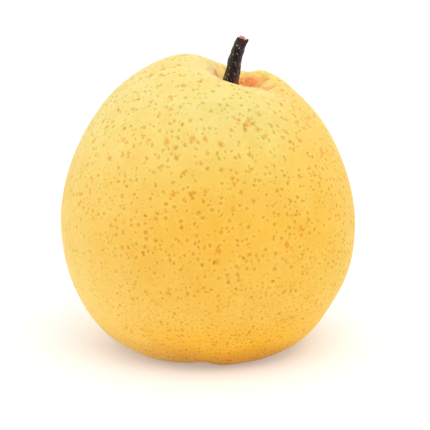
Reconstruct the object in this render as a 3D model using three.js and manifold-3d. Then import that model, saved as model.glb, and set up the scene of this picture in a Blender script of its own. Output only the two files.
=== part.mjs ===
// An asian pear: one round fruit with a woody stem standing in its stem cavity.
// Millimetres, +Z up. The origin is the middle of the foot, on the plane that the pear stands on.
// The fruit is one solid: a crown and a base that meet at the widest level, with the crown's swells,
// the stem cavity and its folds, the soft foot and the calyx basin worked into the same surface.

import * as THREE from 'three';
import Module from 'manifold-3d';

// ---- Fruit: driving dimensions ----
const RADIUS = 42; // half the width at the widest level
const EQUATOR = 35.3; // height of the widest level
const CROWN_HEIGHT = 49.3; // from the widest level to the plain top, before the cavity
const CROWN_POWER = 1.855; // below 2: shoulders slope more than a ball's
const BASE_HEIGHT = 42.75; // from the widest level to the plain bottom, before the foot is flattened
const BASE_POWER = 2.187; // above 2: the base is squarer than a ball's
const SHOULDER_TILT = 0.021; // the left shoulder stands higher than the right one
const LEAN = 0.005; // sideways drift of the whole fruit per mm of height

// Where the flank is drawn in (depth above 0) or full (below 0): direction and width in degrees,
// level and its reach up and down in mm. The first goes all round, just above the foot.
const WAISTS = [
  { turn: 0, width: Infinity, level: 10, reach: 11, depth: 1.0 },
  { turn: 5, width: 40, level: 11, reach: 8, depth: 0.5 },
  { turn: 180, width: 40, level: 25, reach: 9, depth: 0.35 },
  { turn: 0, width: 40, level: 66, reach: 8, depth: -0.35 },
  { turn: 180, width: 35, level: 74, reach: 7, depth: -0.4 },
];
const SIDE_LOBES = { count: 3, depth: 0.18, turn: 0.64 };
const BASAL_LOBES = { count: 5, depth: 0.3, turn: 0.89 };
// Where the foot's edge is lifted (above 0) or let down (below 0): direction and width in degrees.
const PADS = [
  { turn: -93, width: 6, lift: 0.35 }, // notch between two lobes
  { turn: -80, width: 9, lift: -0.5 },
  { turn: -147, width: 20, lift: 0.85 },
  { turn: -38, width: 20, lift: 0.35 },
];

// Swells (height above 0) and hollows (below 0) of the crown round the stem.
const SWELLS = [
  { x: 8.2, y: -7.0, reachX: 11.5, reachY: 8.0, height: -5.4 }, // low lip in front of the stem
  { x: 9.5, y: 4.8, reachX: 9.6, reachY: 9.6, height: -5.4 }, // saddle behind the stem
  { x: 16.0, y: 7.7, reachX: 7.4, reachY: 3.1, height: 2.5 }, // knob at the back right
  { x: 19.0, y: -6.5, reachX: 5.0, reachY: 5.0, height: -0.9 }, // dip at the lip's right end
  { x: 14.5, y: -10.0, reachX: 3.6, reachY: 3.6, height: 0.75 }, // full stretch of the lip, right of the stem
];

// The stem cavity: its lip is wide and soft on the right, close and crisp in front.
const CAVITY = { x: 7.6, y: 0, radius: 9.5, depth: 7.2 };
const LIP_REACH = { right: 0.44, front: -0.09, left: -0.27 };
const LIP_SOFTNESS = { plain: 1.1, right: 1.0, left: 0.9 };
// Folds that run out of the cavity over its lip: direction and width in degrees, depth in mm.
const FOLDS = [
  { turn: 62, width: 9, depth: 0.35 },
  { turn: 34, width: 7, depth: 0.55 },
  { turn: 8, width: 8, depth: 0.5 },
  { turn: -22, width: 9, depth: 0.3 },
  { turn: 125, width: 12, depth: 0.3 },
  { turn: -165, width: 9, depth: 0.35 },
];

const FOOT = { softness: 2.9, cut: 0.4 }; // the foot settles flat on the plane z = 0
const BASIN = { radius: 13, depth: 7 }; // the calyx basin in the middle of the foot

// ---- Stem: driving dimensions ----
const STEM_LINE = [
  [4.1, 0, 67.6],
  [5.0, 0, 70.6],
  [6.6, 0, 75.6],
  [7.35, 0.1, 79.6],
  [7.95, 0.3, 82.4],
  [9.8, 0.6, 87.8],
];
const STEM_TIP_RADIUS = 1.47;
const STEM_TAPER = 1.38; // added to the radius at the seat
const STEM_FLARE = { reach: 0.16, radius: 0.2 }; // where the stem spreads into its seat
const STEM_KNOBS = { depth: 0.07, waves: 5.5 }; // slow waviness of the bark
const CORE = { radius: 1.05, height: 0.78, offset: -0.1 }; // fibres left standing in the broken tip
const SEAT_GAP = 0.3; // clear space between the stem and the socket that it sits in

// ---- Fineness ----
const FRUIT_ROWS = 44;
const FRUIT_COLUMNS = 72;
const STEM_ROWS = 14;
const STEM_COLUMNS = 14;

const wasm = await Module();
wasm.setup();

// ---- Small helpers ----
const clamp = (value) => Math.min(1, Math.max(0, value));

// Smooth step from 0 to 1.
function ease(value) {
  const t = clamp(value);
  return t * t * (3 - 2 * t);
}

// 1 in the direction `centre`, falling to 0 on both sides of it; degrees.
function lobe(angle, centre, width) {
  const away = ((((angle - centre + 180) % 360) + 360) % 360) - 180;
  return Math.exp(-((away / width) ** 2));
}

// Height of a superelliptic dome at the fraction `r` of its radius.
function dome(r, height, power) {
  return height * (1 - Math.min(r, 1) ** power) ** (1 / power);
}

// A closed solid through rings listed from the bottom up, each anticlockwise seen from above.
function closedRings(bottom, rings, top) {
  const columns = rings[0].length;
  const points = [bottom, ...rings.flat(), top];
  const at = (row, column) => 1 + row * columns + (column % columns);
  const faces = [];
  for (let j = 0; j < columns; j++) {
    faces.push(0, at(0, j + 1), at(0, j));
    for (let i = 0; i + 1 < rings.length; i++) {
      faces.push(at(i, j), at(i, j + 1), at(i + 1, j + 1));
      faces.push(at(i, j), at(i + 1, j + 1), at(i + 1, j));
    }
    faces.push(at(rings.length - 1, j), at(rings.length - 1, j + 1), points.length - 1);
  }
  const geometry = new THREE.BufferGeometry().setFromPoints(points);
  geometry.setIndex(faces);
  return geometry;
}

// ---- Fruit ----

// Height of the fruit's upper side over the point (x, y).
function crownHeight(x, y) {
  let z = EQUATOR + dome(Math.hypot(x, y) / RADIUS, CROWN_HEIGHT - SHOULDER_TILT * x, CROWN_POWER);
  for (const swell of SWELLS) {
    const across = (x - swell.x) / swell.reachX;
    const along = (y - swell.y) / swell.reachY;
    z += swell.height * Math.exp(-across * across - along * along);
  }
  return z - cavityDepth(x - CAVITY.x, y - CAVITY.y);
}

// Depth of the stem cavity and its folds below the crown, (x, y) from the cavity's middle.
function cavityDepth(x, y) {
  const angle = THREE.MathUtils.radToDeg(Math.atan2(y, x));
  const right = LIP_REACH.right * lobe(angle, 5, 40);
  const front = LIP_REACH.front * lobe(angle, -95, 50);
  const left = LIP_REACH.left * lobe(angle, 180, 40);
  const lip = CAVITY.radius * (1 + right + front + left);
  const softRight = LIP_SOFTNESS.right * lobe(angle, 30, 65);
  const softLeft = LIP_SOFTNESS.left * lobe(angle, 160, 40);
  const t = Math.hypot(x, y) / lip;
  const bowl = CAVITY.depth * clamp(1 - t * t) ** (LIP_SOFTNESS.plain + softRight + softLeft);
  const nearLip = ease((t - 0.15) / 0.4) * ease((1.45 - t) / 0.7);
  const folds = FOLDS.map((fold) => fold.depth * lobe(angle, fold.turn, fold.width));
  return bowl + nearLip * folds.reduce((sum, depth) => sum + depth, 0);
}

// Height of the fruit's under side over the point (x, y): soft flat foot with a basin in its middle.
function baseHeight(x, y) {
  const reach = Math.hypot(x, y);
  const plain = EQUATOR - dome(reach / RADIUS, BASE_HEIGHT, BASE_POWER);
  const soft = (plain + Math.hypot(plain, FOOT.softness)) / 2 - FOOT.cut;
  const angle = Math.atan2(y, x);
  let edge = BASAL_LOBES.depth * Math.cos(BASAL_LOBES.count * (angle - BASAL_LOBES.turn));
  for (const pad of PADS) {
    edge += pad.lift * lobe(THREE.MathUtils.radToDeg(angle), pad.turn, pad.width);
  }
  const ring = ease((reach - 15) / 8) * ease((36 - reach) / 12);
  const basin = BASIN.depth * clamp(1 - (reach / BASIN.radius) ** 2) ** 1.6;
  return Math.max(0, soft + edge * ring) + basin;
}

// The waists, the side lobes and the lean, given to a point of the plain shape.
function shapeFlank(x, y, z) {
  const reach = Math.hypot(x, y);
  const angle = Math.atan2(y, x);
  let inward = 0;
  for (const { turn, width, level, reach: spread, depth } of WAISTS) {
    const near = Math.exp(-(((z - level) / spread) ** 2));
    inward += depth * near * lobe(THREE.MathUtils.radToDeg(angle), turn, width);
  }
  const side = Math.sin(Math.PI * clamp(z / (EQUATOR + CROWN_HEIGHT)));
  const lobes = SIDE_LOBES.depth * Math.cos(SIDE_LOBES.count * angle - SIDE_LOBES.turn) * side;
  const out = (lobes - inward * ease(reach / 20)) * ease(reach / 30);
  const drift = LEAN * (EQUATOR - z);
  return new THREE.Vector3(x + out * Math.cos(angle) + drift, y + out * Math.sin(angle), z);
}

// A point of the skin: `row` runs 0..1 from the basin over the flank into the cavity.
function skinPoint(row, turn) {
  const polar = Math.PI * row - 0.3 * Math.sin(2 * Math.PI * row);
  const reach = RADIUS * Math.max(0, Math.sin(polar));
  const upper = polar > Math.PI / 2;
  // Rings near the top are centred on the cavity instead of the fruit's axis.
  const pull = upper ? ease((36 - reach) / 24) : 0;
  const x = CAVITY.x * pull + reach * Math.cos(turn);
  const y = CAVITY.y * pull + reach * Math.sin(turn);
  return shapeFlank(x, y, upper ? crownHeight(x, y) : baseHeight(x, y));
}

function plainFruit() {
  const rings = [];
  for (let i = 1; i < FRUIT_ROWS; i++) {
    const ring = [];
    for (let j = 0; j < FRUIT_COLUMNS; j++) {
      ring.push(skinPoint(i / FRUIT_ROWS, (2 * Math.PI * j) / FRUIT_COLUMNS));
    }
    rings.push(ring);
  }
  return closedRings(skinPoint(0, 0), rings, skinPoint(1, 0));
}

// ---- Stem ----
const stemLine = new THREE.CatmullRomCurve3(STEM_LINE.map((point) => new THREE.Vector3(...point)));

function stemRadius(t, turn) {
  const flare = STEM_FLARE.radius * Math.exp(-t / STEM_FLARE.reach);
  const knobs = STEM_KNOBS.depth * Math.sin(2 * Math.PI * STEM_KNOBS.waves * t + 2 * Math.cos(turn));
  return STEM_TIP_RADIUS + STEM_TAPER * (1 - t) + flare + knobs * ease(t / 0.2);
}

// The stem's solid, `gap` larger all round.
function stemGeometry(gap) {
  const rings = [];
  for (let i = 0; i <= STEM_ROWS; i++) {
    rings.push(stemRing(i / STEM_ROWS, 0, (t, turn) => stemRadius(t, turn) + gap, 0));
  }
  rings.push(stemRing(1, CORE.height + gap, () => CORE.radius + gap, CORE.offset));
  const bottom = stemPoint(0, -gap);
  const lowest = rings[0].map((point) => point.clone().add(bottom).sub(stemPoint(0, 0)));
  const top = rings.at(-1).reduce((sum, point) => sum.add(point), new THREE.Vector3());
  return closedRings(bottom, gap > 0 ? [lowest, ...rings] : rings, top.divideScalar(STEM_COLUMNS));
}

// The point `beyond` mm along the stem from its middle line at `t`.
function stemPoint(t, beyond) {
  return stemLine.getPointAt(t).addScaledVector(stemLine.getTangentAt(t), beyond);
}

// A ring across the stem at `t`, moved `beyond` mm along it and `offset` mm to the side.
function stemRing(t, beyond, radiusAt, offset) {
  const along = stemLine.getTangentAt(t);
  const across = new THREE.Vector3(0, 1, 0).cross(along).normalize();
  const forward = along.clone().cross(across);
  const middle = stemPoint(t, beyond).addScaledVector(across, offset);
  const ring = [];
  for (let j = 0; j < STEM_COLUMNS; j++) {
    const turn = (2 * Math.PI * j) / STEM_COLUMNS;
    const radius = radiusAt(t, turn);
    const point = middle.clone().addScaledVector(across, radius * Math.cos(turn));
    ring.push(point.addScaledVector(forward, radius * Math.sin(turn)));
  }
  return ring;
}

// ---- Joining and cutting ----
function toSolid(geometry) {
  const vertProperties = new Float32Array(geometry.getAttribute('position').array);
  const triVerts = new Uint32Array(geometry.getIndex().array);
  return new wasm.Manifold(new wasm.Mesh({ numProp: 3, vertProperties, triVerts }));
}

function toGeometry(solid) {
  const mesh = solid.getMesh();
  const geometry = new THREE.BufferGeometry();
  geometry.setAttribute('position', new THREE.BufferAttribute(mesh.vertProperties, 3));
  geometry.setIndex(new THREE.BufferAttribute(mesh.triVerts, 1));
  return geometry;
}

// The fruit with the socket that the stem sits in.
function fruitGeometry() {
  return toGeometry(toSolid(plainFruit()).subtract(toSolid(stemGeometry(SEAT_GAP))));
}

// ---- The object ----
function makePiece(name, geometry, finish) {
  geometry.computeVertexNormals();
  const mesh = new THREE.Mesh(geometry, new THREE.MeshStandardMaterial(finish));
  mesh.name = name;
  return mesh;
}

const pear = new THREE.Group();
pear.add(makePiece('fruit', fruitGeometry(), { color: 0xfccb62, roughness: 0.45, metalness: 0 }));
pear.add(makePiece('stem', stemGeometry(0), { color: 0x3b2a23, roughness: 0.85, metalness: 0 }));

export default pear;
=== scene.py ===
"""An asian pear: a round yellow fruit with a dark woody stem, standing on a pale floor.

Lengths are written in the pear's own millimetres and turned into metres by MM, which comes from
the frame. The fruit and the stem repeat the CAD shapes by formula, far finer, and add the relief
that only looks need. Both ride on the one body of the frame.
"""

import math

import bpy
import numpy as np
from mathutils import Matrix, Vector, noise


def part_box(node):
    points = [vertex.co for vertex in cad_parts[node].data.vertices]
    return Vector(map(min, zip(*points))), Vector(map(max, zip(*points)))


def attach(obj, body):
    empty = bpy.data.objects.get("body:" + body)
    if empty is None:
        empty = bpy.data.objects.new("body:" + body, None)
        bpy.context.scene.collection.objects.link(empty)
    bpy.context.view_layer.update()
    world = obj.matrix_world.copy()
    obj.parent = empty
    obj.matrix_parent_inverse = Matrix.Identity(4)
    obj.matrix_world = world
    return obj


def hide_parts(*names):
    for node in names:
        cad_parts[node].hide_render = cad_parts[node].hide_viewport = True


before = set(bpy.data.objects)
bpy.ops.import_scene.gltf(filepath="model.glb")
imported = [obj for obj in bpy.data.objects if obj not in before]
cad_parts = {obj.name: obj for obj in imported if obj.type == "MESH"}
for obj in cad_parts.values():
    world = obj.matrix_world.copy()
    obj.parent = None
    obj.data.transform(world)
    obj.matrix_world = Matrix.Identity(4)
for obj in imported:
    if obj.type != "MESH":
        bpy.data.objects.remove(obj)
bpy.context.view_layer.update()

# ---- Scale, from the frame ----
WIDTH = 83.886  # the fruit's width in its own millimetres
FRUIT_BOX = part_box("fruit")
MM = (FRUIT_BOX[1][0] - FRUIT_BOX[0][0]) / WIDTH

# ---- Fruit: the CAD shape ----
RADIUS = 42.0  # half the width at the widest level, before the waists
EQUATOR = 35.3  # height of the widest level
CROWN_HEIGHT = 49.3
CROWN_POWER = 1.855
BASE_HEIGHT = 42.75
BASE_POWER = 2.187
SHOULDER_TILT = 0.021
LEAN = 0.005
# Waists and bulges of the flank: direction, width in degrees, level, reach up and down, depth.
WAISTS = (
    (0, math.inf, 10, 11, 1.0),
    (5, 40, 11, 8, 0.5),
    (180, 40, 25, 9, 0.35),
    (0, 40, 66, 8, -0.35),
    (180, 35, 74, 7, -0.4),
)
# Lobes: how many, depth, turn in radians.
SIDE_LOBES, SIDE_LOBE_DEPTH, SIDE_LOBE_TURN = 3, 0.18, 0.64
BASAL_LOBES, BASAL_LOBE_DEPTH, BASAL_LOBE_TURN = 5, 0.3, 0.89
# Lifted and lowered stretches of the foot's edge: direction, width in degrees, lift.
PADS = (
    (-93, 6, 0.35),
    (-80, 9, -0.5),
    (-147, 20, 0.85),
    (-38, 20, 0.35),
)
# Swells and hollows of the crown: x, y, reach along x, reach along y, height.
SWELLS = (
    (8.2, -7.0, 11.5, 8.0, -5.4),  # low lip in front of the stem
    (9.5, 4.8, 9.6, 9.6, -5.4),  # saddle behind the stem
    (16.0, 7.7, 7.4, 3.1, 2.5),  # knob at the back right
    (19.0, -6.5, 5.0, 5.0, -0.9),  # dip at the lip's right end
    (14.5, -10.0, 3.6, 3.6, 0.75),  # full stretch of the lip, right of the stem
)
CAVITY_X, CAVITY_RADIUS, CAVITY_DEPTH = 7.6, 9.5, 7.2
# Where the cavity is wider or narrower: direction, width in degrees, share of its radius.
CAVITY_STRETCHES = (
    (5, 40, 0.44),
    (-95, 50, -0.09),
    (180, 40, -0.27),
)
# How softly its wall turns into the lip: everywhere, and more by direction, width in degrees.
CAVITY_SOFTNESS = 1.1
CAVITY_SOFT_SIDES = (
    (30, 65, 1.0),
    (160, 40, 0.9),
)
# Folds over the cavity's lip: direction and width in degrees, depth.
FOLDS = (
    (62, 9, 0.35),
    (34, 7, 0.55),
    (8, 8, 0.5),
    (-22, 9, 0.3),
    (125, 12, 0.3),
    (-165, 9, 0.35),
)
FOOT_SOFTNESS, FOOT_CUT = 2.9, 0.4
BASIN_RADIUS, BASIN_DEPTH, BASIN_POWER = 13.0, 7.0, 1.6
BASIN_PLEATS, BASIN_PLEAT_DEPTH = 10, 0.3
UNDERSIDE_RADIUS = 27.0  # as far as the underside has a colour of its own

# Russet stains round the stem: x, y, reach along x, reach along y, strength.
STAINS = (
    (12.3, 5.6, 2.3, 1.2, 1.0),
    (10.0, 6.7, 1.4, 0.9, 0.6),
    (14.9, 6.8, 1.1, 0.4, 0.4),
    (15.6, 4.9, 2.0, 0.4, 0.3),
    (17.6, 5.2, 1.6, 1.0, 0.3),
    (14.2, 3.4, 2.4, 1.2, 0.5),
    (2.9, 1.1, 1.0, 2.9, 1.0),
    (0.5, -5.6, 0.9, 2.4, 0.62),
    (2.1, -7.6, 0.8, 1.8, 0.7),
    (21.0, -3.5, 1.0, 0.9, 0.6),
    (21.4, -8.6, 1.1, 0.9, 0.5),
)
# Orange scuffs on the front shoulder, in the same order.
SCUFFS = (
    (7.1, -26.9, 0.6, 0.4, 0.8),
    (8.4, -27.3, 1.0, 0.5, 1.0),
    (11.5, -26.2, 0.7, 0.7, 1.0),
    (10.8, -27.3, 0.6, 0.8, 1.0),
    (10.2, -28.2, 0.6, 0.7, 0.9),
    (12.1, -26.9, 0.5, 0.5, 0.8),
)
# Wrinkles of the cavity: from x, y to x, y, width, depth.
WRINKLES = (
    (11.8, 5.1, 17.4, 4.8, 0.35, 0.25),
    (12.5, 4.3, 16.8, 3.8, 0.35, 0.18),
    (13.5, 3.2, 19.0, 1.6, 0.45, 0.18),
    (12.0, -14.5, 18.5, -9.0, 0.7, 0.18),
    (0.9, -2.8, 2.0, -7.5, 0.5, 0.12),
    (2.4, 2.6, 3.2, -0.6, 0.4, 0.06),
)
# Reddish half ring beside the stem's foot: radius, width, then direction and width in degrees.
SEAT_RADIUS, SEAT_WIDTH, SEAT_TURN, SEAT_SPAN = 3.4, 1.3, -15, 60
CHEEK = (0.45, -1.0, 0.0)  # the side of the fruit that the sun coloured; away from it the skin is painted paler, partly as painted light
FLUSH = (1.0, -0.1, 0.6)  # the shoulder that it coloured too
BARE_SIDE = (-1.0, -0.3, -0.2)  # the side with the fewest specks
# Specks: spacing and radius, and a shift that gives each kind a pattern of its own.
LARGE_SPECKS = (2.35, 0.68, 0)
SMALL_SPECKS = (1.57, 0.50, 40)
WARM_SPECKS = (5.0, 0.85, 80)
SPECK_CORE = 0.1  # the share of a speck's radius that has its full colour

# ---- Stem: the CAD line ----
STEM_LINE = (
    (4.1, 0, 67.6),
    (5.0, 0, 70.6),
    (6.6, 0, 75.6),
    (7.35, 0.1, 79.6),
    (7.95, 0.3, 82.4),
    (9.8, 0.6, 87.8),
)
STEM_TIP_RADIUS = 1.47
STEM_TAPER = 1.38
STEM_FLARE_REACH, STEM_FLARE = 0.16, 0.2
CORE_RADIUS, CORE_HEIGHT, CORE_OFFSET = 1.05, 0.78, -0.1
# Bark relief: height and width of its ridges and of the fine bumps on them, and one splinter.
RIDGE_HEIGHT, RIDGE_SIZE = 0.20, 1.3
BUMP_HEIGHT, BUMP_SIZE = 0.06, 0.5
SPLINTER_HEIGHT, SPLINTER_TURN, SPLINTER_WIDTH = 0.28, 5, 45
# Ragged rim of the bark: height, waves round the rim, turn in radians.
RIM_WAVES = (
    (0.15, 1, math.pi / 2 - 0.5),
    (0.16, 3, 1.0),
    (0.10, 7, 0.0),
)
# The break, from the rim in: share of the rim's radius, drop below it.
BREAK_RINGS = (
    (0.93, -0.03),
    (0.82, 0.12),
    (0.72, 0.4),
)
BREAK_BARK_RINGS = 2  # of them still bark
# The fibres that stand in the break: share of their radius, rise.
CORE_RINGS = (
    (1.0, -0.2),
    (0.97, 0.15),
    (0.85, 0.42),
    (0.6, 0.6),
    (0.3, 0.68),
)
FIBRE_HEIGHT, FIBRE_SIZE = 0.16, 0.35

# ---- Fineness ----
FRUIT_ROWS, FRUIT_COLUMNS = 280, 336
POLE_CROWDING = 0.3  # how much closer the rings lie near the stem and the basin
STEM_ROWS, STEM_COLUMNS = 220, 96
MAP_MARGIN = 0.002  # left free round the map for the export

# ---- View and light ----
VIEW_ELEVATION = 13.0  # degrees above level, looking along +Y
VIEW_LENS, SENSOR = 135.0, 36.0
VIEW_WIDTH = 122.86  # the fruit fills about two thirds of the picture's width
VIEW_TARGET = (2.2, 0.0, 37.4)
FLOOR_SIDE = 3400.0
WORLD_STRENGTH = 1.0
KEY_PLACE, KEY_SIZE, KEY_POWER = (80, -260, 460), 300, 0.55


# ---- Shape helpers, on arrays ----
def ease(value):
    """Smooth step from 0 to 1."""
    t = np.clip(value, 0, 1)
    return t * t * (3 - 2 * t)


def lobe(angle, centre, width):
    """1 in the direction `centre`, falling to 0 on both sides of it; degrees."""
    away = (angle - centre + 180) % 360 - 180
    return np.exp(-((away / width) ** 2))


def dome(r, height, power):
    """Height of a superelliptic dome at the fraction `r` of its radius."""
    return height * np.clip(1 - np.clip(r, 0, 1) ** power, 0, 1) ** (1 / power)


def closed_faces(rows, columns):
    """Faces of a closed skin: a bottom point, `rows` rings from the bottom up, and a top point."""
    last = rows * columns + 1
    faces = []
    for j in range(columns):
        k = (j + 1) % columns
        faces.append((0, 1 + k, 1 + j))
        for i in range(rows - 1):
            low, high = 1 + i * columns, 1 + (i + 1) * columns
            faces.append((low + j, low + k, high + k, high + j))
        top = 1 + (rows - 1) * columns
        faces.append((top + j, top + k, last))
    return faces


def make_object(name, points, faces):
    """A smooth mesh object from points in millimetres."""
    mesh = bpy.data.meshes.new(name)
    mesh.from_pydata([tuple(p) for p in np.asarray(points) * MM], [], faces)
    mesh.shade_smooth()
    piece = bpy.data.objects.new(name, mesh)
    bpy.context.scene.collection.objects.link(piece)
    return piece


def give_attribute(piece, name, values):
    """A number for each point, which the materials read by its name."""
    layer = piece.data.attributes.new(name, "FLOAT", "POINT")
    layer.data.foreach_set("value", np.asarray(values, dtype=np.float32))


# ---- Fruit ----
def cavity(x, y):
    """Depth of the stem cavity's bowl, and of the folds over its lip."""
    x = x - CAVITY_X
    angle = np.degrees(np.arctan2(y, x))
    wide = sum(share * lobe(angle, turn, width) for turn, width, share in CAVITY_STRETCHES)
    soft_sides = (more * lobe(angle, turn, width) for turn, width, more in CAVITY_SOFT_SIDES)
    softness = sum(soft_sides, start=CAVITY_SOFTNESS)
    t = np.hypot(x, y) / (CAVITY_RADIUS * (1 + wide))
    bowl = CAVITY_DEPTH * np.clip(1 - t * t, 0, 1) ** softness
    near_lip = ease((t - 0.15) / 0.4) * ease((1.45 - t) / 0.7)
    folds = sum(depth * lobe(angle, turn, width) for turn, width, depth in FOLDS)
    return bowl, folds * near_lip


def crown_height(x, y):
    """The upper half: a dome with its swells, the stem cavity and the folds."""
    z = EQUATOR + dome(np.hypot(x, y) / RADIUS, CROWN_HEIGHT - SHOULDER_TILT * x, CROWN_POWER)
    for swell_x, swell_y, reach_x, reach_y, height in SWELLS:
        z = z + height * np.exp(-(((x - swell_x) / reach_x) ** 2) - ((y - swell_y) / reach_y) ** 2)
    bowl, folds = cavity(x, y)
    return z - bowl - folds


def stains(x, y, places):
    """How strongly the stains in the list `places` colour the skin, 0..1."""
    bare = 1.0
    for stain_x, stain_y, reach_x, reach_y, strength in places:
        near = np.exp(-(((x - stain_x) / reach_x) ** 2) - ((y - stain_y) / reach_y) ** 2)
        bare = bare * (1 - strength * near)
    return 1 - bare


def wrinkles(x, y):
    """Depth of the thin wrinkles round the stem."""
    depth = 0.0
    for x0, y0, x1, y1, width, deep in WRINKLES:
        length = math.hypot(x1 - x0, y1 - y0)
        along = ((x - x0) * (x1 - x0) + (y - y0) * (y1 - y0)) / length
        aside = ((y - y0) * (x1 - x0) - (x - x0) * (y1 - y0)) / length
        aside = aside + 0.25 * np.sin(along * 1.3 + x0)  # none runs quite straight
        ends = ease(along / 1.5 + 0.5) * ease((length - along) / 1.5 + 0.5)
        depth = depth + deep * ends * np.exp(-((aside / width) ** 2))
    return depth


def base_height(x, y):
    """The lower half: a dome with a flat foot, lobes on its edge, and the calyx basin."""
    reach = np.hypot(x, y)
    plain = EQUATOR - dome(reach / RADIUS, BASE_HEIGHT, BASE_POWER)
    soft = (plain + np.hypot(plain, FOOT_SOFTNESS)) / 2 - FOOT_CUT
    angle = np.arctan2(y, x)
    edge = BASAL_LOBE_DEPTH * np.cos(BASAL_LOBES * (angle - BASAL_LOBE_TURN))
    edge = edge + sum(lift * lobe(np.degrees(angle), turn, width) for turn, width, lift in PADS)
    # The lobes and pads fade towards the basin and the flank.
    ring = ease((reach - 15) / 8) * ease((36 - reach) / 12)
    basin = BASIN_DEPTH * np.clip(1 - (reach / BASIN_RADIUS) ** 2, 0, 1) ** BASIN_POWER
    return np.maximum(0, soft + edge * ring) + basin


def pleats(x, y):
    """Height of the puckered skin in the calyx basin."""
    reach = np.hypot(x, y)
    angle = np.arctan2(y, x)
    ring = ease((reach - 1.5) / 3) * ease((BASIN_RADIUS - 1 - reach) / 4)
    return BASIN_PLEAT_DEPTH * np.cos(BASIN_PLEATS * angle + 0.9 * np.cos(3 * angle)) * ring


def shape_flank(x, y, z):
    """The waists, the side lobes and the lean, given to points of the plain shape."""
    reach = np.hypot(x, y)
    angle = np.arctan2(y, x)
    inward = 0.0
    for turn, width, level, spread, depth in WAISTS:
        near = np.exp(-(((z - level) / spread) ** 2))
        inward = inward + depth * near * lobe(np.degrees(angle), turn, width)
    side = np.sin(np.pi * np.clip(z / (EQUATOR + CROWN_HEIGHT), 0, 1))
    lobes = SIDE_LOBE_DEPTH * np.cos(SIDE_LOBES * angle - SIDE_LOBE_TURN) * side
    # Both fade towards the axis, where a direction says nothing.
    out = (lobes - inward * ease(reach / 20)) * ease(reach / 30)
    return x + out * np.cos(angle) + LEAN * (EQUATOR - z), y + out * np.sin(angle), z


def seat_ring(x, y):
    """How strongly the half ring beside the stem's foot shows, 0..1."""
    x = x - STEM_LINE[2][0]
    ring = np.exp(-(((np.hypot(x, y) - SEAT_RADIUS) / SEAT_WIDTH) ** 2))
    return ring * lobe(np.degrees(np.arctan2(y, x)), SEAT_TURN, SEAT_SPAN)


def make_fruit():
    """The fruit's skin, and numbers that say where its cavity, folds, stains and underside lie."""
    row = np.linspace(0, 1, FRUIT_ROWS + 2)
    polar = np.pi * row - POLE_CROWDING * np.sin(2 * np.pi * row)
    turn = np.linspace(0, 2 * np.pi, FRUIT_COLUMNS, endpoint=False)
    polar, turn = np.meshgrid(polar, turn, indexing="ij")
    upper = polar > np.pi / 2
    reach = RADIUS * np.clip(np.sin(polar), 0, 1)
    # The crown's rings close in on the stem cavity, which is not in the fruit's middle.
    pull = np.where(upper, ease((36 - reach) / 24), 0)
    x = CAVITY_X * pull + reach * np.cos(turn)
    y = reach * np.sin(turn)
    creases = wrinkles(x, y)
    z = np.where(upper, crown_height(x, y) - creases, base_height(x, y) + pleats(x, y))
    points = np.stack(shape_flank(x, y, z), axis=-1)
    fruit = make_object("pear_skin", once_at_poles(points), closed_faces(FRUIT_ROWS, FRUIT_COLUMNS))
    bowl, folds = cavity(x, y)
    crown_marks = {
        "russet": stains(x, y, STAINS),
        "scuff": stains(x, y, SCUFFS),
        # bowl is the cavity's depth, which the skin also uses to paint light inside the cavity.
        "bowl": bowl,
        "seat": seat_ring(x, y),
        # fold also carries the painted shade of the creases, at three times their depth.
        "fold": folds + 3 * creases,
    }
    for name, values in crown_marks.items():
        give_attribute(fruit, name, once_at_poles(np.where(upper, values, 0)))
    under = np.clip(1 - np.hypot(x, y) / UNDERSIDE_RADIUS, 0, 1)
    give_attribute(fruit, "under", once_at_poles(np.where(upper, 0, under)))
    unwrap_round(fruit, FRUIT_ROWS, FRUIT_COLUMNS, polar[:, 0] / np.pi)
    return fruit


def once_at_poles(grid):
    """A grid of rings as one list, with the first and last ring as single points."""
    middle = grid[1:-1].reshape(-1, *grid.shape[2:])
    return np.concatenate([grid[0, :1], middle, grid[-1, :1]])


def unwrap_round(piece, rows, columns, heights):
    """A map that unrolls the rings side by side, with its seam on the right, for the export."""
    mesh = piece.data
    point = np.empty(len(mesh.loops), dtype=np.int32)
    mesh.loops.foreach_get("vertex_index", point)
    first, last = point == 0, point > rows * columns
    ring = np.where(first, 0, np.where(last, rows + 1, (point - 1) // columns + 1))
    column = np.where(first | last, -1, (point - 1) % columns)
    u = np.empty(len(point))
    for face in mesh.polygons:
        loops = slice(face.loop_start, face.loop_start + face.loop_total)
        own = column[loops].astype(float)
        known = own[own >= 0]
        if known.max() - known.min() > 1:  # a face of the seam
            own = np.where(own == 0, columns, own)
            known = own[own >= 0]
        u[loops] = np.where(own < 0, known.mean(), own)
    layer = mesh.uv_layers.new(name="OFBake")
    places = np.stack([u / columns, heights[ring]], axis=-1)
    places = MAP_MARGIN + (1 - 2 * MAP_MARGIN) * places
    layer.data.foreach_set("uv", places.astype(np.float32).ravel())


# ---- Stem ----
def along_line(points, t):
    """Points and directions at `t` (0..1) on a smooth line through `points`."""
    points = np.asarray(points, dtype=float)
    chord = np.concatenate([[0], np.cumsum(np.linalg.norm(np.diff(points, axis=0), axis=1))])
    chord /= chord[-1]
    slope = np.gradient(points, chord, axis=0)
    i = np.clip(np.searchsorted(chord, t, side="right") - 1, 0, len(chord) - 2)
    step = chord[i + 1] - chord[i]
    s = ((t - chord[i]) / step)[:, None]
    step = step[:, None]
    start, end = points[i], points[i + 1]
    place = (2 * s**3 - 3 * s**2 + 1) * start + (s**3 - 2 * s**2 + s) * step * slope[i]
    place += (3 * s**2 - 2 * s**3) * end + (s**3 - s**2) * step * slope[i + 1]
    ahead = np.gradient(place, t, axis=0)
    return place, ahead / np.linalg.norm(ahead, axis=1, keepdims=True)


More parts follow.
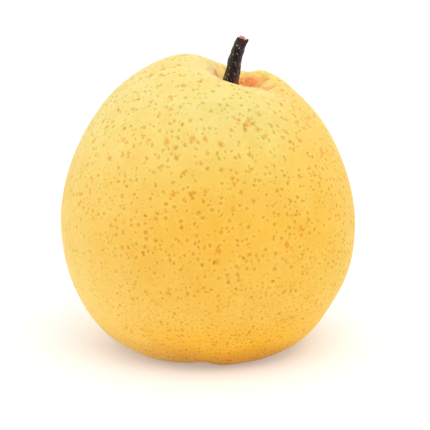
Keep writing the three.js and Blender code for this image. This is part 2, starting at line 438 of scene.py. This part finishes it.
def rough(points, size, octaves, seed=0.0):
    """Soft random height, about -1..1, at each point; `size` is the width of its bumps."""
    away = Vector((seed, seed * 1.7, seed * 2.3))
    flat = points.reshape(-1, 3)
    heights = [noise.fractal(Vector(p) / size + away, 1.0, 2.0, octaves) for p in flat]
    return np.array(heights).reshape(points.shape[:-1])


def bark_rings(t, turn, middle, ahead, spoke):
    """The bark's rings from its seat up, with ridges, a splinter and a ragged rim."""
    radius = STEM_TIP_RADIUS + STEM_TAPER * (1 - t) + STEM_FLARE * np.exp(-t / STEM_FLARE_REACH)
    bark = middle[:, None] + spoke * radius[:, None, None]
    # Ridges run along the stem: they are long because the height is pressed flat.
    ridges = RIDGE_HEIGHT * rough(bark * (1, 1, 0.5), RIDGE_SIZE, octaves=2)
    bumps = BUMP_HEIGHT * rough(bark, BUMP_SIZE, octaves=3, seed=5.0)
    bark = bark + spoke * ((ridges + bumps) * ease(t / 0.1)[:, None])[..., None]
    splinter = lobe(np.degrees(turn), SPLINTER_TURN, SPLINTER_WIDTH)
    splinter = SPLINTER_HEIGHT * ease((t - 0.90) / 0.10)[:, None] * splinter
    bark = bark + spoke * splinter[..., None]
    ragged = sum(height * np.sin(waves * turn + start) for height, waves, start in RIM_WAVES)
    return bark + ahead[:, None] * (ragged * ease((t - 0.93) / 0.07)[:, None])[..., None]


def broken_tip(rim, core_middle, way, spoke):
    """Rings from the bark's rim into the break, and over the fibres that stand in it."""
    rim_middle = rim.mean(axis=0)
    rings = [rim_middle + (rim - rim_middle) * wide - way * drop for wide, drop in BREAK_RINGS]
    for wide, rise in CORE_RINGS:
        ring = core_middle + spoke * CORE_RADIUS * wide + way * rise
        fibres = FIBRE_HEIGHT * rough(ring, FIBRE_SIZE, octaves=2, seed=9.0)
        rings.append(ring + way * fibres[:, None])
    return np.array(rings)


def make_stem():
    """The stalk: rough bark, broken off at the tip, where its pale fibres stand up."""
    t = np.linspace(0, 1, STEM_ROWS)
    turn = np.linspace(0, 2 * np.pi, STEM_COLUMNS, endpoint=False)
    middle, ahead = along_line(STEM_LINE, t)
    across = np.cross((0, 1, 0), ahead)
    across /= np.linalg.norm(across, axis=1, keepdims=True)
    forward = np.cross(ahead, across)
    spoke = across[:, None] * np.cos(turn)[:, None] + forward[:, None] * np.sin(turn)[:, None]
    bark = bark_rings(t, turn, middle, ahead, spoke)
    core_middle = middle[-1] + across[-1] * CORE_OFFSET * 0.5
    tip = broken_tip(bark[-1], core_middle, ahead[-1], spoke[-1])
    rings = np.concatenate([bark, tip])
    top = core_middle + ahead[-1] * CORE_HEIGHT
    points = np.concatenate([[middle[0]], rings.reshape(-1, 3), [top]])
    stem = make_object("pear_stem", points, closed_faces(len(rings), STEM_COLUMNS))
    height = np.concatenate([t, np.ones(len(tip))])
    is_core = np.arange(len(rings)) >= STEM_ROWS + BREAK_BARK_RINGS
    off_middle = points[:, 0] - each_point(rings.mean(axis=1)[:, 0])
    give_attribute(stem, "height", each_point(height))
    give_attribute(stem, "core", each_point(is_core))
    # side runs from left to right as seen from the front; the bark's edges take a painted reflection
    # from it.
    give_attribute(stem, "side", np.clip(off_middle / STEM_TIP_RADIUS, -2, 2))
    return stem


def each_point(ring_values):
    """One value a ring, repeated for the points of a closed stem."""
    return np.concatenate([ring_values[:1], np.repeat(ring_values, STEM_COLUMNS), ring_values[-1:]])


# ---- Node helpers ----
def colour(code):
    """A linear colour from a six-figure sRGB code."""
    parts = [int(code[i : i + 2], 16) / 255 for i in (0, 2, 4)]
    return tuple(p / 12.92 if p <= 0.04045 else ((p + 0.055) / 1.055) ** 2.4 for p in parts) + (1.0,)


class Nodes:
    """Short calls that build one material's nodes."""

    def __init__(self, name):
        self.material = bpy.data.materials.new(name)
        self.material.use_nodes = True
        self.tree = self.material.node_tree
        self.shader = self.tree.nodes["Principled BSDF"]
        self.place = self.make("ShaderNodeTexCoord").outputs["Object"]

    def make(self, kind, inputs=None, **settings):
        """A new node; `inputs` gives its sockets a value or a link, `settings` are its own."""
        node = self.tree.nodes.new(kind)
        for key, value in settings.items():
            setattr(node, key, value)
        for key, value in (inputs or {}).items():
            self.fill(node.inputs[key], value)
        return node

    def fill(self, socket, value):
        """A link where `value` is another node's socket, else a plain value."""
        if isinstance(value, bpy.types.NodeSocket):
            self.tree.links.new(value, socket)
        else:
            socket.default_value = value

    def math(self, operation, a, b=0.0):
        return self.make("ShaderNodeMath", {0: a, 1: b}, operation=operation).outputs[0]

    def map(self, value, low, high, to_low=0.0, to_high=1.0, smooth=False):
        """`value` from low..high to to_low..to_high, held at the ends."""
        kind = "SMOOTHSTEP" if smooth else "LINEAR"
        places = {"Value": value, "From Min": low, "From Max": high, "To Min": to_low, "To Max": to_high}
        return self.make("ShaderNodeMapRange", places, interpolation_type=kind).outputs["Result"]

    def mix(self, amount, a, b, blend="MIX"):
        """The colour `a` with `amount` of `b` blended in."""
        node = self.make("ShaderNodeMix", data_type="RGBA", blend_type=blend)
        # The node's colours go into its sockets 6 and 7 and come out of socket 2.
        self.fill(node.inputs["Factor"], amount)
        self.fill(node.inputs[6], a)
        self.fill(node.inputs[7], b)
        return node.outputs[2]

    def ramp(self, value, stops):
        """A colour for each value; `stops` are places with six-figure codes."""
        node = self.make("ShaderNodeValToRGB", {"Fac": value})
        while len(node.color_ramp.elements) < len(stops):
            node.color_ramp.elements.new(0.5)
        for element, (where, code) in zip(node.color_ramp.elements, stops):
            element.position = where
            element.color = colour(code)
        return node.outputs["Color"]

    def attribute(self, name):
        return self.make("ShaderNodeAttribute", attribute_name=name).outputs["Fac"]

    def noise(self, size, detail=2.0, roughness=0.5, place=None):
        """Random grey, about 0.25..0.75, whose bumps are `size` millimetres wide."""
        values = {"Vector": place or self.place, "Scale": 1 / (size * MM)}
        values.update({"Detail": detail, "Roughness": roughness})
        return self.make("ShaderNodeTexNoise", values).outputs["Fac"]

    def stray(self, amount, size, detail=2.0, roughness=0.5):
        """Random number round 0, over a range of about half of `amount`."""
        centred = self.math("SUBTRACT", self.noise(size, detail, roughness), 0.5)
        return self.math("MULTIPLY", centred, amount)

    def bump(self, height, distance, strength=1.0, under=None):
        values = {"Height": height, "Distance": distance * MM, "Strength": strength}
        if under is not None:
            values["Normal"] = under
        return self.make("ShaderNodeBump", values).outputs["Normal"]

    def wobble(self, amount, size, place=None, detail=1.0):
        """`place` pushed about within a range of `amount` millimetres, in bumps of `size`."""
        values = {"Vector": self.place, "Scale": 1 / (size * MM), "Detail": detail}
        random = self.make("ShaderNodeTexNoise", values).outputs["Color"]
        pushed = self.vector("MULTIPLY_ADD", random, (amount * MM,) * 3, place or self.place)
        return self.vector("SUBTRACT", pushed, (amount / 2 * MM,) * 3)

    def toward(self, direction, low, high):
        """1 on the side of the fruit that faces `direction`, 0 on the far side of low..high."""
        spoke = self.vector("SUBTRACT", self.place, (0, 0, EQUATOR * MM))
        way = tuple(Vector(direction).normalized())
        facing = self.vector("DOT_PRODUCT", self.vector("NORMALIZE", spoke), way)
        return self.map(facing, low, high, smooth=True)

    def vector(self, operation, *parts):
        """Vector arithmetic; a number for LENGTH and DOT_PRODUCT, else a vector."""
        node = self.make("ShaderNodeVectorMath", dict(enumerate(parts)), operation=operation)
        return node.outputs["Value" if operation in ("LENGTH", "DOT_PRODUCT") else "Vector"]

    def largest(self, parts):
        """The largest of a vector's three parts."""
        x, y, z = self.make("ShaderNodeSeparateXYZ", {0: parts}).outputs[:3]
        return self.math("MAXIMUM", self.math("MAXIMUM", x, y), z)

    def roll_out(self, place):
        """Where `place` lies on a cube round the fruit, whose faces are the skin rolled out flat.

        Gives the spot on the cube as seen from the middle, the same with even angles from -1
        to 1 along each face, and 1 for the axis that stands on the face, 0 for the other two.
        """
        spoke = self.vector("SUBTRACT", place, (0, 0, EQUATOR * MM))
        longest = self.largest(self.vector("ABSOLUTE", spoke))
        lengths = self.make("ShaderNodeCombineXYZ", {0: longest, 1: longest, 2: longest}).outputs[0]
        spot = self.vector("DIVIDE", spoke, lengths)
        # Close to the arc tangent, and exact at the edges.
        squared = self.vector("MULTIPLY", spot, spot)
        bend = self.vector("MULTIPLY_ADD", squared, (-0.273,) * 3, (1.273,) * 3)
        # Rounded down from a little more, only the part that reaches 1 is left.
        little_more = self.vector("ADD", self.vector("ABSOLUTE", spot), (0.0001,) * 3)
        standing = self.vector("FLOOR", little_more)
        return spot, self.vector("MULTIPLY", spot, bend), standing

    def nearest_seed(self, rolled, cells, shift):
        """The nearest of the seeds strewn over the rolled out skin, one by chance in each cell.

        There are `cells` cells to half the length of a face. Gives, in that half length, the gap
        to the seed on the round skin and the seed's gap to the edge of its face, and then
        three random numbers for the seed.
        """
        spot, flat, standing = rolled
        # Each face lies in the middle of a layer of cells, and its edges lie between two cells.
        outward = self.vector("MULTIPLY", spot, standing)
        moved = self.vector("MULTIPLY_ADD", outward, (0.5 / cells,) * 3, flat)
        offset = (shift / cells,) * 3
        moved = self.vector("ADD", moved, offset)
        seed = self.make("ShaderNodeTexVoronoi", {"Vector": moved, "Scale": cells}).outputs
        lying = self.vector("SUBTRACT", (1, 1, 1), standing)
        home = self.vector("ABSOLUTE", self.vector("SUBTRACT", seed["Position"], offset))
        room = self.math("SUBTRACT", 1.0, self.largest(self.vector("MULTIPLY", home, lying)))
        gap = self.vector("SUBTRACT", moved, seed["Position"])
        gap = self.vector("MULTIPLY", gap, lying)
        # The same gap on the round skin, where the cells are narrower towards a face's edges.
        gap = self.vector("MULTIPLY_ADD", gap, self.vector("MULTIPLY", spot, spot), gap)
        gap = self.vector("LENGTH", self.vector("CROSS_PRODUCT", gap, spot))
        gap = self.math("DIVIDE", gap, self.vector("DOT_PRODUCT", spot, spot))
        chance = self.make("ShaderNodeSeparateColor", {0: seed["Color"]}).outputs
        return gap, room, chance

    def specks(self, rolled, kind, keep):
        """Roundish specks, the halos round them, and a random number for each speck.

        `kind` is a row such as LARGE_SPECKS; `keep` (0..1) is the share that shows.
        """
        spacing, radius, shift = kind
        half_face = math.pi / 4 * RADIUS
        gap, room, chance = self.nearest_seed(rolled, round(half_face / spacing), shift)
        least, most = 0.6 * radius / half_face, 1.4 * radius / half_face
        size = self.map(chance[0], 0.0, 1.0, least, most)
        # No speck reaches past the edges of its face, where the next face would cut it.
        size = self.math("MAXIMUM", self.math("MINIMUM", size, room), 0.0001)
        shown = self.math("LESS_THAN", chance[1], keep)
        core = self.math("MULTIPLY", size, SPECK_CORE)
        inside = self.map(gap, core, size, 1.0, 0.0, smooth=True)
        around = self.map(gap, size, self.math("MULTIPLY", size, 2.0), 1.0, 0.0, smooth=True)
        halo = self.math("SUBTRACT", around, inside)
        return self.math("MULTIPLY", inside, shown), self.math("MULTIPLY", halo, shown), chance[2]


# ---- Materials ----
def ground_colour(n, level):
    """The skin between its specks: a golden foot, browner at its edge with painted shade, an
    orange-yellow cheek, pale lemon shoulders, and paler sides that are partly painted light.
    """
    ground = n.ramp(
        n.math("ADD", level, n.stray(0.10, 20)),
        (
            # The lowest stops darken the foot's edge to brown: partly its golden colour, partly painted
            # shade where the fruit meets the floor.
            (0.00, "B06C00"),
            (0.06, "D89300"),
            (0.11, "F0B62E"),
            (0.22, "EEC156"),
            (0.36, "EBBF54"),
            (0.50, "EBBE4E"),
            (0.62, "E9C35C"),
            (0.75, "E6CE75"),
            (0.88, "DED286"),
            (0.97, "DCD18A"),
        ),
    )
    # Away from the cheek the skin turns paler: partly the side the sun coloured less, partly painted
    # light for the pale rim that the white room lights and for a brighter left side.
    paler_side_and_rim_light = n.math("SUBTRACT", 1.0, n.toward(CHEEK, 0.1, 0.95))
    ground = n.mix(n.math("MULTIPLY", paler_side_and_rim_light, 0.45), ground, colour("F8DC8E"))
    flush = n.math("MULTIPLY", n.toward(FLUSH, 0.7, 0.98), 0.65)
    ground = n.mix(flush, ground, colour("EBBE58"))
    cloud = n.map(n.noise(7, 3, 0.6), 0.35, 0.68)
    ground = n.mix(n.math("MULTIPLY", cloud, 0.30), ground, colour("F3E2A2"), "MULTIPLY")
    mottle = n.map(n.noise(1.4, 2), 0.35, 0.65)
    return n.mix(n.math("MULTIPLY", mottle, 0.12), ground, colour("F2E0B0"), "MULTIPLY")


def cavity_colour(n, ground):
    """The skin of the stem cavity: paler deep inside as painted light, orange russet, a reddish half
    ring, and brown folds, partly painted shade in their creases.
    """
    # Deeper in the bowl the skin is paler: painted light that lifts the shade inside the cavity.
    ground = n.mix(n.map(n.attribute("bowl"), 0.0, 1.7, smooth=True), ground, colour("FFDE92"))
    stain = n.attribute("russet")
    russet = n.map(n.math("ADD", stain, n.stray(1.6, 1.1, 3, 0.6)), 0.3, 0.75)
    russet = n.math("MULTIPLY", russet, n.map(stain, 0.05, 0.3))
    orange = n.ramp(n.noise(1.0, 2, 0.6), ((0.36, "EC9658"), (0.56, "FCAA68")))
    ground = n.mix(russet, ground, orange)
    ground = n.mix(n.math("MULTIPLY", n.attribute("seat"), 0.55), ground, colour("CE8A66"))
    # The folds and wrinkles turn brown: partly the skin's own colour, partly painted shade in the
    # creases, which are cut shallow.
    return n.mix(n.map(n.attribute("fold"), 0.15, 0.55, 0.0, 0.32), ground, colour("DC8A3C"))


def underside_colour(n, ground):
    """A golden foot, tan towards the middle of the calyx basin, with a dark scar there."""
    under = n.attribute("under")
    ground = n.mix(n.map(under, 0.0, 0.3, 0.0, 0.8), ground, colour("E0AC46"))
    ground = n.mix(n.map(under, 0.42, 0.85, 0.0, 0.8), ground, colour("B98A3C"))
    scar = n.map(n.math("ADD", under, n.stray(0.25, 1.6, 3, 0.6)), 0.86, 0.94, 0.0, 0.8)
    return n.mix(scar, ground, colour("6E4E2A"))


def threads(n):
    """Short curved threads of russet, where one random field crosses its middle."""
    away = n.math("ABSOLUTE", n.math("SUBTRACT", n.noise(5, 1), 0.5))
    line = n.map(away, 0.003, 0.010, 1.0, 0.0)
    broken = n.map(n.noise(0.9, 1), 0.45, 0.6)
    here = n.map(n.noise(7, 1, 0.5, n.wobble(3, 9)), 0.56, 0.62)
    return n.math("MULTIPLY", n.math("MULTIPLY", line, broken), here)


def speck_shares(n, level, aside, bare):
    """The share of the large and of the small specks that shows at each place."""
    # Small ones take over low down and at the sides.
    fine = n.math("MAXIMUM", n.map(level, 0.25, 0.50, 1.0, 0.0), n.math("MULTIPLY", aside, 0.55))
    # None on russet or in the calyx basin; fewer on the bare side, at the foot and on the crown.
    clear = n.math("MULTIPLY", n.attribute("russet"), 3.0)
    clear = n.math("ADD", clear, n.map(n.attribute("under"), 0.5, 0.75))
    clear = n.math("ADD", clear, n.math("MULTIPLY", bare, 0.12))
    clear = n.math("ADD", clear, n.map(level, 0.04, 0.14, 0.25, 0.0))
    clear = n.math("ADD", clear, n.map(level, 0.55, 0.85, 0.0, 0.12))
    large = n.math("SUBTRACT", n.map(fine, 0.0, 1.0, 0.77, 0.32), clear)
    small = n.math("SUBTRACT", n.map(fine, 0.0, 1.0, 0.13, 1.0), clear)
    # The flushed shoulder has fewer small ones.
    flush = n.math("MULTIPLY", n.toward(FLUSH, 0.7, 0.98), 0.15)
    return large, n.math("SUBTRACT", small, flush)


def darken(n, skin, specks, olive, orange, is_orange, aside):
    """The skin with what its specks take out of it: the colour `olive`, or for a few `orange`."""
    taken = n.mix(is_orange, olive, colour(orange))
    # At the sides the ground holds more blue, so the specks take out more of it.
    taken = n.mix(aside, taken, colour("00003C"), "ADD")
    return n.mix(specks, skin, taken, "SUBTRACT")


def add_lenticels(n, skin, level, meander):
    """The skin with its olive and orange specks; also the large and the small specks alone."""
    rolled = n.roll_out(n.wobble(1.1, 0.8, meander))
    aside = n.math("SUBTRACT", 1.0, n.toward(CHEEK, 0.1, 0.7))
    bare = n.toward(BARE_SIDE, 0.5, 0.95)
    large_share, small_share = speck_shares(n, level, aside, bare)
    large, large_halo, large_tint = n.specks(rolled, LARGE_SPECKS, large_share)
    small, small_halo, small_tint = n.specks(rolled, SMALL_SPECKS, small_share)
    halo = n.math("MAXIMUM", large_halo, small_halo)
    skin = n.mix(n.math("MULTIPLY", halo, 0.08), skin, colour("F4EE9C"))
    pale = n.map(bare, 0.0, 1.0, 1.0, 0.7)
    large = n.math("MULTIPLY", large, pale)
    small = n.math("MULTIPLY", small, pale)
    high = n.map(level, 0.45, 0.75)
    olive = n.mix(high, colour("74723B"), colour("717352"))
    skin = darken(n, skin, large, olive, "4A7442", n.map(large_tint, 0.86, 0.94), aside)
    olive = n.mix(high, colour("5E5F40"), colour("63624B"))
    skin = darken(n, skin, small, olive, "446C3C", n.map(small_tint, 0.88, 0.95), aside)
    return skin, large, small


def warm_marks(n, level, meander, large):
    """Soft orange specks, mostly high up and seldom over large olive ones, and the scuffs."""
    share = n.map(level, 0.35, 0.7, 0.05, 0.5)
    warm, _, _ = n.specks(n.roll_out(n.wobble(2.0, 1.0, meander)), WARM_SPECKS, share)
    warm = n.math("MULTIPLY", warm, n.map(large, 0.0, 1.0, 1.0, 0.3))
    scuff = n.map(n.math("ADD", n.attribute("scuff"), n.stray(1.4, 0.7)), 0.36, 0.8)
    return n.math("MAXIMUM", warm, scuff)


def skin_material():
    """The pear's skin: its ground colours, then the specks and marks, then gloss and pores."""
    n = Nodes("pear_skin")
    height = n.make("ShaderNodeSeparateXYZ", {0: n.place}).outputs[2]
    level = n.map(height, 0.0, FRUIT_BOX[1][2])  # 0 at the foot, 1 at the top
    skin = underside_colour(n, cavity_colour(n, ground_colour(n, level)))
    # A slow meander, so that no rows of specks show where two faces of the roll-out meet.
    meander = n.wobble(3.5, 22, detail=0.0)
    skin, large, small = add_lenticels(n, skin, level, meander)
    skin = n.mix(warm_marks(n, level, meander, large), skin, colour("F6D2B8"), "MULTIPLY")
    skin = n.mix(n.math("MULTIPLY", threads(n), 0.35), skin, colour("D98A2E"))
    n.fill(n.shader.inputs["Base Color"], skin)
    # The specks are duller than the waxy skin, and stand up from it a little.
    dots = n.math("MAXIMUM", large, small)
    gloss = n.map(n.noise(0.8, 3), 0.3, 0.7, 0.40, 0.52)
    n.fill(n.shader.inputs["Roughness"], n.math("ADD", gloss, n.math("MULTIPLY", dots, 0.2)))
    pores = n.bump(n.noise(0.45, 3, 0.6), 0.05, 0.5)
    n.fill(n.shader.inputs["Normal"], n.bump(dots, 0.05, 0.6, pores))
    n.shader.inputs["Specular IOR Level"].default_value = 0.04
    n.shader.inputs["Subsurface Weight"].default_value = 0.8
    n.shader.inputs["Subsurface Radius"].default_value = (1.0, 0.6, 0.25)
    n.shader.inputs["Subsurface Scale"].default_value = 9 * MM
    return n.material


def bark_material():
    """Dark ridged bark, and the paler fibres of its broken tip."""
    n = Nodes("stem_bark")
    up = n.attribute("height")
    side = n.attribute("side")
    grain = n.vector("MULTIPLY", n.place, (1, 1, 0.45))
    lumps = n.noise(0.7, 3, 0.6, grain)
    bark = n.ramp(lumps, ((0.35, "0A0504"), (0.5, "1A0F0C"), (0.65, "3A2A26")))
    # Grey-olive towards one side and purple-grey towards the other, lighter than the dark middle: partly
    # the bark's own hues, partly a painted reflection on its edges as seen from the front. Red-brown at
    # the foot and the tip.
    bark = n.mix(n.map(side, -0.3, -1.2, 0.0, 0.6), bark, colour("54523E"))
    bark = n.mix(n.map(side, 0.2, 1.1, 0.0, 0.55), bark, colour("4C3E40"))
    foot = n.map(up, 0.56, 0.42)
    bark = n.mix(n.math("MULTIPLY", foot, n.map(side, 0.3, 1.4, 0.0, 0.8)), bark, colour("8A4E28"))
    bark = n.mix(n.math("MULTIPLY", foot, n.map(side, -0.4, -1.6, 0.0, 0.7)), bark, colour("5C3236"))
    bark = n.mix(n.map(up, 0.92, 0.98, 0.0, 0.7), bark, colour("4A1A1A"))
    flecks = n.map(n.noise(0.5, 2, 0.55, grain), 0.63, 0.68)
    bark = n.mix(n.math("MULTIPLY", flecks, 0.75), bark, colour("C0B6AC"))
    wood = n.ramp(n.noise(0.3, 3), ((0.3, "9A6A60"), (0.7, "DDB0A6")))
    n.fill(n.shader.inputs["Base Color"], n.mix(n.attribute("core"), bark, wood))
    n.fill(n.shader.inputs["Roughness"], n.map(lumps, 0.3, 0.7, 0.38, 0.6))
    n.fill(n.shader.inputs["Normal"], n.bump(n.noise(0.3, 3, 0.6, grain), 0.16, 0.9))
    n.shader.inputs["Specular IOR Level"].default_value = 0.15
    return n.material


def floor_material():
    n = Nodes("studio_floor")
    white = n.ramp(n.noise(40, 2), ((0.3, "E6E6E6"), (0.7, "E8E8E8")))
    n.fill(n.shader.inputs["Base Color"], white)
    n.shader.inputs["Roughness"].default_value = 0.9
    # The floor glows like a light table, so the shadow under the fruit stays faint.
    n.shader.inputs["Emission Color"].default_value = (1, 1, 1, 1)
    n.shader.inputs["Emission Strength"].default_value = 0.25
    return n.material


# ---- Studio ----
def make_floor():
    side = FLOOR_SIDE / 2
    points = [(-side, -side, 0), (side, -side, 0), (side, side, 0), (-side, side, 0)]
    floor = make_object("studio_floor", points, [(0, 1, 2, 3)])
    floor.data.materials.append(floor_material())


def make_world(strength):
    world = bpy.data.worlds.new("studio")
    world.use_nodes = True
    world.node_tree.nodes["Background"].inputs["Color"].default_value = (1, 1, 1, 1)
    world.node_tree.nodes["Background"].inputs["Strength"].default_value = strength
    bpy.context.scene.world = world


def look_at(thing, place, target):
    thing.location = place
    thing.rotation_euler = (target - place).to_track_quat("-Z", "Y").to_euler()
    bpy.context.scene.collection.objects.link(thing)


def make_light(name, place, size, power):
    """A square lamp of `size` millimetres, turned to the middle of the fruit."""
    lamp = bpy.data.lights.new(name, "AREA")
    lamp.size = size * MM
    lamp.energy = power
    look_at(bpy.data.objects.new(name, lamp), Vector(place) * MM, Vector((0, 0, EQUATOR)) * MM)


def make_camera():
    """A camera whose picture is VIEW_WIDTH wide at the target."""
    camera = bpy.data.cameras.new("camera")
    camera.lens = VIEW_LENS
    camera.sensor_width = SENSOR
    rise = math.radians(VIEW_ELEVATION)
    back = Vector((0, -math.cos(rise), math.sin(rise)))
    target = Vector(VIEW_TARGET) * MM
    thing = bpy.data.objects.new("camera", camera)
    look_at(thing, target + back * (VIEW_LENS / SENSOR * VIEW_WIDTH * MM), target)
    bpy.context.scene.camera = thing


def set_piece(piece, material, node):
    """Dress a piece and let it stand for the CAD node."""
    piece.data.materials.append(material)
    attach(piece, "root")
    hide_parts(node)


set_piece(make_fruit(), skin_material(), "fruit")
set_piece(make_stem(), bark_material(), "stem")
make_floor()
make_world(WORLD_STRENGTH)
make_light("key", KEY_PLACE, KEY_SIZE, KEY_POWER)
make_camera()
bpy.context.scene.view_settings.view_transform = "Standard"
